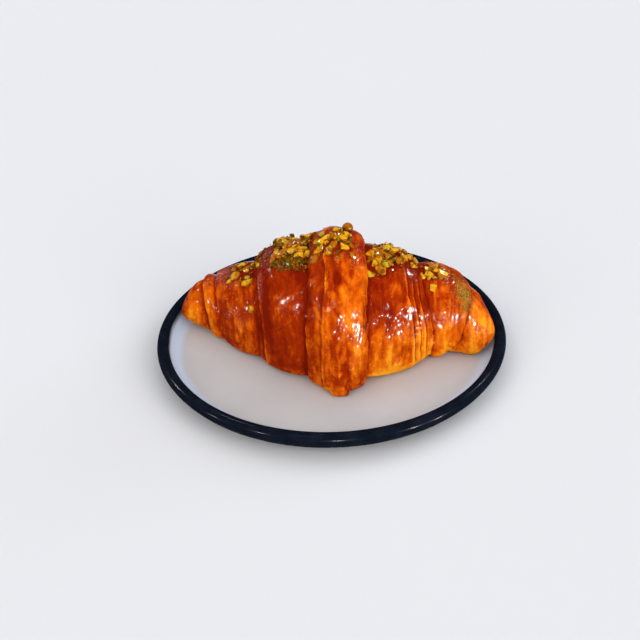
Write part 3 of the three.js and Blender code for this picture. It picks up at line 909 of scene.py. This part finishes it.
def build_wrap(wrap, settings, noise):
    """One wrap of dough as a closed piece that runs on under its neighbour's lip."""
    number = WRAPS.index(wrap)
    shares = wrap_rows(wrap, settings.row_spacing / MM)
    angle = -np.pi / 2 + 2 * np.pi * np.arange(settings.columns) / settings.columns
    left, right = wrap_span(wrap, angle)
    radius = (along_roll(0.5 * (left + right), HEIGHT) * 0.5).mean()
    arc = (angle + np.pi / 2) * radius
    waver = noise(arc / 9, number * 3.1) * LIP_WAVER
    wander = noise(arc / 14, 3.3 + number) * LAYER_WANDER
    x, rise = wrap_grid(wrap, shares, angle, wander)
    left_lip, right_lip = lips_of(wrap)
    near_lip = np.zeros_like(x)
    if left_lip:
        near_lip = np.maximum(near_lip, 1 - smooth((x - left) / WAVER_REACH))
    if right_lip:
        near_lip = np.maximum(near_lip, 1 - smooth((right - x) / WAVER_REACH))
    x = x + waver * near_lip
    base = crust_point(x, angle, rise)
    from_left = np.where(left_lip, x - left, NO_LIP)
    from_right = np.where(right_lip, right - x, NO_LIP)
    from_lip = np.maximum(np.minimum(from_left, from_right), 0.0)
    relief = skin_relief(wrap, x, np.broadcast_to(arc, x.shape), from_lip, noise)
    folds, glaze = folded_skin(x, angle, radius, noise)
    relief = relief * (1 - POOL_LEVELS * glaze) + folds
    edge, groove = layer_steps(wrap, from_left, from_right, wander)
    relief = relief + edge * EDGE_HEIGHT - groove * GROOVE_DEPTH
    # No relief on the sole and at the very ends
    height = base[..., 2] - FLOOR_TOP - PLATE_GAP
    keep = smooth((height - 0.3) / 5.0) * smooth((end_fullness(x) - 0.2) / 0.6)
    points = base + surface_normals(base) * (relief * keep * settings.relief)[..., None]
    points[..., 2] = np.maximum(points[..., 2], FLOOR_TOP + PLATE_GAP)
    attributes = crust_attributes(wrap, x, angle, left, right, height, relief)
    attributes["glaze"] = glaze
    # Lighter at the lip, where its edge is less baked, and on each layer's edge, partly a painted
    # highlight
    attributes["lip"] = np.exp(-(from_lip**2)) * 0.4 + edge
    # The grooves before layer edges get painted shade too
    attributes["crease"] = attributes["crease"] + groove
    start = points[0].mean(0)
    end = points[-1].mean(0)
    flat = np.array(0.0)
    if not wrap["left"]:
        start = crust_point(np.array(LEFT_END), flat, flat)
    if not wrap["right"]:
        end = crust_point(np.array(RIGHT_END), flat, flat)
    return mesh_from_rings(wrap["name"], points, start, end, attributes)


def near_spot(x, degrees, spot):
    """1 in the middle of a spot with half sizes wide and turn, fading to 0 outside it."""
    across = (x - spot["x"]) / spot["wide"]
    around = (degrees - spot["angle"]) / spot["turn"]
    return np.exp(-(across**2 + around**2))


def crust_attributes(wrap, x, angle, left, right, height, relief):
    """How dark each point is baked, with painted shade in the relief's hollows and under the nuts,
    and where it tucks under the next wrap's lip; and the dust.
    """
    sin = np.sin(angle)
    upwards = smooth((sin + 0.75) / 1.5)
    # Lighter within 12 mm of the plate: partly less baked, partly painted light thrown up from the
    # plate
    belly = smooth(1 - height / 12.0) * 0.08
    ridge = smooth((sin - 0.82) / 0.18) * 0.14
    # Hollows of the relief are painted darker and its bumps lighter, as painted shade and light
    bake = mix(wrap["low"], wrap["top"], upwards) + ridge - belly - relief * 0.26
    degrees = np.degrees(angle) + np.zeros_like(x)
    for tone in TONES:
        bake = bake + tone["darker"] * near_spot(x, degrees, tone)
    # Painted shade under the nuts
    for patch in FILL_PATCHES:
        along = window(x, *patch["x"], UNDER_NUT_SHADE_FADE)
        bake = bake + UNDER_NUT_SHADE * along * window(degrees, *patch["angle"], UNDER_NUT_SHADE_TURN)
    inner = np.full(x.shape, NO_LIP)
    if wrap["kind"] != "middle":
        inner = (right - x) if wrap["side"] < 0 else (x - left)
    # Painted shade where the wrap tucks under the next wrap's lip
    crease = np.exp(-np.maximum(inner, 0.0) / 1.3) * smooth(inner + 6)
    return {"bake": bake, "crease": crease, "dust": near_spot(x, degrees, DUST)}


def nut_places():
    """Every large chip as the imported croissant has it: its place, turn and size."""
    draw = random_from(NUT_SEED)
    nuts = list(SINGLE_NUTS)
    for patch in NUT_PATCHES:
        nuts += strewn(patch, draw)
    return [lie_on_crust(nut, draw, as_packed=True) for nut in nuts]


def strewn(patch, draw):
    golden = 0.618034
    found = []
    for i in range(patch["count"]):
        u = min(1.0, max(0.0, (i + 0.5 + (draw() - 0.5) * 0.9) / patch["count"]))
        v = ((i * golden) % 1) * 0.9 + draw() * 0.1
        size = mix(*patch["size"], draw())
        found.append(dict(x=mix(*patch["x"], u), angle=mix(*patch["angle"], v), size=size))
    return found


def scattered(patch, draw):
    """Pieces thrown at a patch: most near its middle, and fewer towards its edges."""
    found = []
    for _ in range(patch["count"]):
        u = (draw() + draw()) / 2
        v = (draw() + draw()) / 2
        size = mix(*patch["size"], draw() ** 1.6)
        nut = dict(x=mix(*patch["x"], u), angle=mix(*patch["angle"], v), size=size, patch=patch)
        found.append(nut)
    return found


def lie_on_crust(nut, draw, as_packed=False):
    """Where one chip lies. As packed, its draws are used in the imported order."""
    if as_packed:
        for _ in range(PACKED_CORNERS):
            draw()
    whole = nut.get("whole", False)
    broad = 1.0 if whole else mix(0.62, 0.85, draw())
    thick = 0.96 if whole else mix(0.45, 0.65, draw())
    if not as_packed:
        broad *= mix(0.75, 1.0, draw())
    spin = draw() * 2 * math.pi
    x, angle, size = nut["x"], math.radians(nut["angle"]), nut["size"]
    along = crust_at(x + 0.6, angle) - crust_at(x - 0.6, angle)
    around = crust_at(x, angle + 0.02) - crust_at(x, angle - 0.02)
    outwards = along.cross(around).normalized()
    lift = size * (thick * 0.5 - NUT_SINK)
    tone = nut.get("tone", mix(*CHIP_TONES, (x * 7.31 + nut["angle"] * 3.17) % 1.0))
    lean = Quaternion()
    if not as_packed:
        patch = nut["patch"]
        lift += patch["pile"] * draw()
        tone = mix(*patch["tone"], draw())
        lean = Quaternion((math.cos(spin * 3), math.sin(spin * 3), 0), (draw() - 0.5) * 1.5)
    turn = Vector((0, 0, 1)).rotation_difference(outwards) @ lean @ Quaternion((0, 0, 1), spin)
    place = (crust_at(x, angle) + outwards * lift) * MM
    spread = Vector((size, size * broad, size * thick)) * MM
    return dict(place=place, turn=turn.to_euler(), spread=spread, whole=whole, tone=tone)


def chopped_shape(name, seed, detail, whole):
    """A lump of nut one unit long, with flat chopped faces, or a rounder whole one."""
    rng = np.random.default_rng(seed)
    form = bmesh.new()
    bmesh.ops.create_icosphere(form, subdivisions=detail, radius=0.5)
    for _ in range(0 if whole else int(rng.integers(*CUTS))):
        direction = Vector(rng.normal(size=3)).normalized()
        cut = rng.uniform(*CUT_PLACES)
        for v in form.verts:
            v.co -= direction * max(v.co.dot(direction) - cut, 0.0)
    spans = [(min(v.co[k] for v in form.verts), max(v.co[k] for v in form.verts)) for k in range(3)]
    for v in form.verts:
        v.co = [(v.co[k] - (low + high) / 2) / (high - low) for k, (low, high) in enumerate(spans)]
        v.co *= 1 + rng.uniform(-LUMP_ROUGHNESS, LUMP_ROUGHNESS)
    bmesh.ops.recalc_face_normals(form, faces=form.faces)
    mesh = bpy.data.meshes.new(name)
    form.to_mesh(mesh)
    form.free()
    level = mesh.attributes.new("level", "FLOAT", "POINT")
    level.data.foreach_set("value", [v.co.z + 0.5 for v in mesh.vertices])
    mesh.polygons.foreach_set("use_smooth", [True] * len(mesh.polygons))
    mesh.set_sharp_from_angle(angle=math.radians(SHARP_DEGREES))
    return bpy.data.objects.new(name, mesh)


def strew_tree():
    """Geometry Nodes: one shape on each point, turned and sized by the point's own values."""
    tree = bpy.data.node_groups.new("strewn_pieces", "GeometryNodeTree")
    new_socket = tree.interface.new_socket
    new_socket("Geometry", in_out="OUTPUT", socket_type="NodeSocketGeometry")
    names = ("Geometry", "Shapes", "Size", "Seed", "Material")
    for name, kind in zip(names, ("Geometry", "Collection", "Float", "Int", "Material")):
        new_socket(name, in_out="INPUT", socket_type="NodeSocket" + kind)
    g = Graph(tree)

    def start(name):
        return g.node("NodeGroupInput", output=name)

    def own(name):
        settings = {"data_type": "FLOAT_VECTOR"}
        return g.node("GeometryNodeInputNamedAttribute", settings, {"Name": name}, "Attribute")

    values = {"Collection": start("Shapes"), "Separate Children": True, "Reset Children": True}
    shapes = g.node("GeometryNodeCollectionInfo", {}, values)
    values = {"Max_002": HIGHEST_PICK, "Seed": start("Seed")}
    choice = g.node("FunctionNodeRandomValue", {"data_type": "INT"}, values, "Value_002")
    values = {"Vector": own("spread"), "Scale": start("Size")}
    scale = g.node("ShaderNodeVectorMath", {"operation": "SCALE"}, values)
    values = {
        "Points": start("Geometry"),
        "Instance": shapes,
        "Pick Instance": True,
        "Instance Index": choice,
        "Rotation": own("turn"),
        "Scale": scale,
    }
    pieces = g.node("GeometryNodeInstanceOnPoints", {}, values)
    real = g.node("GeometryNodeRealizeInstances", {}, {"Geometry": pieces})
    values = {"Geometry": real, "Material": start("Material")}
    dressed = g.node("GeometryNodeSetMaterial", {}, values)
    g.feed(tree.nodes.new("NodeGroupOutput").inputs["Geometry"], dressed)
    return tree


def strew(name, pieces, shapes, settings, material):
    """Strews the pieces by Geometry Nodes and leaves one plain mesh."""
    mesh = bpy.data.meshes.new(name + "_points")
    mesh.from_pydata([p["place"] for p in pieces], [], [])
    for key in ("turn", "spread"):
        layer = mesh.attributes.new(key, "FLOAT_VECTOR", "POINT")
        layer.data.foreach_set("vector", np.array([tuple(p[key]) for p in pieces]).ravel())
    layer = mesh.attributes.new("tone", "FLOAT", "POINT")
    layer.data.foreach_set("value", [p["tone"] for p in pieces])
    carrier = link(bpy.data.objects.new(name + "_points", mesh))
    stock = bpy.data.collections.new(name + "_shapes")
    for shape in shapes:
        stock.objects.link(shape)
    tree = bpy.data.node_groups.get("strewn_pieces") or strew_tree()
    modifier = carrier.modifiers.new("strewn", "NODES")
    modifier.node_group = tree
    inputs = {"Shapes": stock, "Size": settings.size, "Seed": settings.seed, "Material": material}
    for item in tree.interface.items_tree:
        if item.in_out == "INPUT" and item.name in inputs:
            modifier[item.identifier] = inputs[item.name]
    carrier.update_tag()
    graph = bpy.context.evaluated_depsgraph_get()
    whole = bpy.data.meshes.new_from_object(
        carrier.evaluated_get(graph), preserve_all_data_layers=True, depsgraph=graph
    )
    carrier.modifiers.remove(modifier)
    for left_over in (carrier, *shapes):
        bpy.data.objects.remove(left_over)
    bpy.data.collections.remove(stock)
    whole.name = name
    if not len(whole.polygons):
        raise RuntimeError(f"{name}: the Geometry Nodes made no faces")
    return link(bpy.data.objects.new(name, whole))


def colour(name, description, default):
    return bpy.props.FloatVectorProperty(
        name=name, description=description, default=default, subtype="COLOR"
    )


def amount(name, description, default, least=0.0):
    return bpy.props.FloatProperty(name=name, description=description, default=default, min=least)


class PlateSettings(bpy.types.PropertyGroup):
    """Sides and colours of the plate."""

    sides: bpy.props.IntProperty(
        name="Sides", description="Straight sides round the plate", default=256, min=32
    )
    inside: colour("Inside glaze", "Colour of the plate's floor", (0.51, 0.495, 0.495))
    # The wall's blue is partly a painted reflection of blue sky
    wall: colour("Wall glaze", "Colour of the wall round the floor", (0.50, 0.60, 0.74))
    rim: colour("Rim glaze", "Colour of the rim and the outside", (0.004, 0.006, 0.012))
    rim_mottle: colour("Rim mottle", "Colour of the mottle in the rim", (0.008, 0.011, 0.02))


class CrustSettings(bpy.types.PropertyGroup):
    """Fineness, relief and colours of the croissant's crust."""

    row_spacing: bpy.props.FloatProperty(
        name="Row spacing",
        description="Distance between rows of points",
        default=0.34 * MM,
        subtype="DISTANCE",
        unit="LENGTH",
    )
    columns: bpy.props.IntProperty(
        name="Columns", description="Points round the roll", default=520, min=40
    )
    relief: amount("Relief", "Strength of lumps and crinkles", 1.0)
    gold: colour("Gold", "Least baked crust", (0.94, 0.35, 0.012))
    amber: colour("Amber", "Lightly baked crust", (0.76, 0.135, 0.003))
    russet: colour("Russet", "Well baked crust", (0.36, 0.028, 0.001))
    dark: colour("Dark", "Darkest crust", (0.20, 0.009, 0.001))
    # Colour of the glints painted as specks on the pooled glaze
    painted_glint_colour: colour("Bead", "Small beads in the pooled glaze", (1.0, 0.62, 0.28))
    dust: colour("Dust", "Nut dust that clings to the glaze", (0.30, 0.21, 0.04))


class NutSettings(bpy.types.PropertyGroup):
    """Size, order and colours of the chopped pistachio."""

    size: amount("Size", "Factor on every chip's size", 1.2, least=0.1)
    seed: bpy.props.IntProperty(name="Seed", description="Order of the shapes", default=7)
    yellow: colour("Yellow", "Most of the nut", (0.72, 0.33, 0.006))
    amber: colour("Amber", "Toasted nut", (0.42, 0.12, 0.003))
    olive: colour("Olive", "Dull nut skin", (0.13, 0.08, 0.002))
    green: colour("Green", "Fresh green nut", (0.36, 0.34, 0.03))
    # Dark syrup on the nuts' skin, and painted shade in the gaps between them
    syrup_and_gap_shade: colour("Syrup", "Dark syrup in the gaps", (0.085, 0.026, 0.001))


class StageSettings(bpy.types.PropertyGroup):
    """Floor and light of the studio."""

    floor: colour("Floor", "Colour of the floor", (0.70, 0.70, 0.72))
    horizon: colour("Horizon", "Colour of the studio at the horizon", (0.62, 0.63, 0.65))
    key: amount("Key light", "Strength of the right light", 1.3)
    left: amount("Left light", "Strength of the left light", 0.9)
    top: amount("Top light", "Strength of the light from above", 2.2)
    back: amount("Back light", "Strength of the cool light", 0.7)
    glint: amount("Glints", "Strength of the small lights", 13.0)
    sky: amount("Sky", "Strength of the even light all round", 0.15)


class CROISSANT_OT_plate(bpy.types.Operator):
    """Build the plate"""

    bl_idname = "croissant.plate"
    bl_label = "Plate"

    def execute(self, context):
        settings = context.scene.croissant_plate
        radius, height = plate_profile().T[..., None]
        turn = 2 * np.pi * np.arange(settings.sides) / settings.sides
        rings = np.stack(
            [radius * np.cos(turn), -radius * np.sin(turn), height + np.zeros_like(turn)], -1
        )
        plate = mesh_from_rings("plate_glazed", rings, (0, 0, FOOT_RECESS), (0, 0, FLOOR_TOP), {})
        plate.data.materials.append(glaze_material(settings))
        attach(plate, BODY)
        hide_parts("plate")
        return {"FINISHED"}


class CROISSANT_OT_crust(bpy.types.Operator):
    """Build the wraps of the croissant's crust"""

    bl_idname = "croissant.crust"
    bl_label = "Crust"

    def execute(self, context):
        settings = context.scene.croissant_crust
        material = crust_material(settings)
        noise = Perlin(5)
        for wrap in WRAPS:
            piece = build_wrap(wrap, settings, noise)
            piece.data.materials.append(material)
            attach(piece, BODY)
            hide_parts("croissant")
        return {"FINISHED"}


class CROISSANT_OT_nuts(bpy.types.Operator):
    """Strew the chopped pistachio"""

    bl_idname = "croissant.nuts"
    bl_label = "Pistachio"

    def execute(self, context):
        settings = context.scene.croissant_nuts
        material = nut_material(settings)
        chips = nut_places()
        draw = random_from(NUT_SEED + 1)
        # Name, pieces, how many shapes there are of them, and how finely these are divided
        groups = [
            ("pistachio_whole", [nut for nut in chips if nut["whole"]], 1, 3),
            ("pistachio_chips", [nut for nut in chips if not nut["whole"]], 9, 3),
            ("pistachio_pieces", self.strewn_over(FILL_PATCHES, draw), 9, 2),
            ("pistachio_crumbs", self.strewn_over(CRUMB_PATCHES, draw), 5, 1),
        ]
        for name, nuts, kinds, detail in groups:
            whole = nuts[0]["whole"]
            shapes = [
                chopped_shape(f"{name}_{i}", SHAPE_SEED + i, detail, whole) for i in range(kinds)
            ]
            piece = strew(name, nuts, shapes, settings, material)
            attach(piece, BODY)
            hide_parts("croissant")
        return {"FINISHED"}

    @staticmethod
    def strewn_over(patches, draw):
        return [lie_on_crust(nut, draw) for patch in patches for nut in scattered(patch, draw)]


class CROISSANT_OT_stage(bpy.types.Operator):
    """Set up the floor, the lights and the camera"""

    bl_idname = "croissant.stage"
    bl_label = "Stage"

    def execute(self, context):
        settings = context.scene.croissant_stage
        self.make_floor(settings)
        for light in BROAD_LIGHTS:
            strength = getattr(settings, light["name"])
            self.make_light(light["name"] + "_light", light, strength, light["colour"], False)
        for light in GLINTS:
            strength = settings.glint * light["share"]
            self.make_light(light["name"], light, strength, WARM, True)
        self.make_sky(context, settings)
        context.scene.view_settings.view_transform = "Standard"
        self.make_camera(context)
        return {"FINISHED"}

    @staticmethod
    def make_floor(settings):
        form = bmesh.new()
        bmesh.ops.create_grid(form, x_segments=2, y_segments=2, size=FLOOR_SIZE)
        mesh = bpy.data.meshes.new("studio_floor")
        form.to_mesh(mesh)
        form.free()
        floor = link(bpy.data.objects.new("studio_floor", mesh))
        floor.data.materials.append(stage_material(settings))

    @staticmethod
    def make_light(name, light, strength, colour, shines):
        """A far light that either shines in gloss or shades matt surfaces."""
        data = bpy.data.lights.new(name, "SUN")
        data.energy = strength
        data.angle = math.radians(light["breadth"])
        data.color = colour
        sun = link(bpy.data.objects.new(name, data))
        sun.rotation_euler = (-Vector(light["direction"])).to_track_quat("-Z", "Y").to_euler()
        sun.visible_glossy = shines
        sun.visible_diffuse = not shines

    @staticmethod
    def make_sky(context, settings):
        """Even light all round: pale at the horizon, like a studio wall, and dim above."""
        world = bpy.data.worlds.new("studio_walls")
        world.use_nodes = True
        g = Graph(world.node_tree)
        direction = g.node("ShaderNodeTexCoord", output="Generated")
        height = g.node("ShaderNodeSeparateXYZ", {}, {"Vector": direction}, "Z")
        above = [settings.sky * c for c in SKY_TINT]
        sky = g.mix(g.between(height, *HORIZON), settings.horizon, above)
        g.feed(world.node_tree.nodes["Background"].inputs["Color"], sky)
        context.scene.world = world

    @staticmethod
    def make_camera(context):
        elevation = math.radians(CAMERA_ELEVATION)
        back = Vector((0, -math.cos(elevation), math.sin(elevation)))
        data = bpy.data.cameras.new("camera")
        data.sensor_width = SENSOR
        data.lens = FOCAL_PIXELS * SENSOR / FRAME_PIXELS
        half = FRAME_PIXELS / 2
        data.shift_x = (half - PLATE_PIXEL[0]) / FRAME_PIXELS
        data.shift_y = (PLATE_PIXEL[1] - half) / FRAME_PIXELS
        data.clip_start = 0.01
        camera = link(bpy.data.objects.new("camera", data))
        camera.location = Vector((0, 0, FLOOR_TOP * MM)) + back * CAMERA_DISTANCE
        aim = (-back).to_track_quat("-Z", "Y")
        roll = Quaternion((0, 0, 1), math.radians(CAMERA_ROLL))
        camera.rotation_euler = (aim @ roll).to_euler()
        context.scene.camera = camera


class CROISSANT_PT_panel(bpy.types.Panel):
    """Settings and buttons for the plate of croissant"""

    bl_idname = "CROISSANT_PT_panel"
    bl_label = "Croissant"
    bl_space_type = "VIEW_3D"
    bl_region_type = "UI"
    bl_category = "Croissant"

    def draw(self, context):
        for key, _, operator in STEPS:
            box = self.layout.box()
            settings = getattr(context.scene, key)
            for name in settings.__annotations__:
                box.prop(settings, name)
            box.operator(operator.bl_idname)


# The settings' name on the scene, their class, and the operator that uses them
STEPS = [
    ("croissant_plate", PlateSettings, CROISSANT_OT_plate),
    ("croissant_crust", CrustSettings, CROISSANT_OT_crust),
    ("croissant_nuts", NutSettings, CROISSANT_OT_nuts),
    ("croissant_stage", StageSettings, CROISSANT_OT_stage),
]
CLASSES = [cls for step in STEPS for cls in step[1:]] + [CROISSANT_PT_panel]


def register():
    for cls in CLASSES:
        bpy.utils.register_class(cls)
    for key, settings, _ in STEPS:
        setattr(bpy.types.Scene, key, bpy.props.PointerProperty(type=settings))


def unregister():
    for key, _, _ in STEPS:
        delattr(bpy.types.Scene, key)
    for cls in reversed(CLASSES):
        bpy.utils.unregister_class(cls)


def main():
    register()
    bpy.ops.croissant.plate()
    bpy.ops.croissant.crust()
    bpy.ops.croissant.nuts()
    bpy.ops.croissant.stage()


if __name__ == "__main__":
    main()
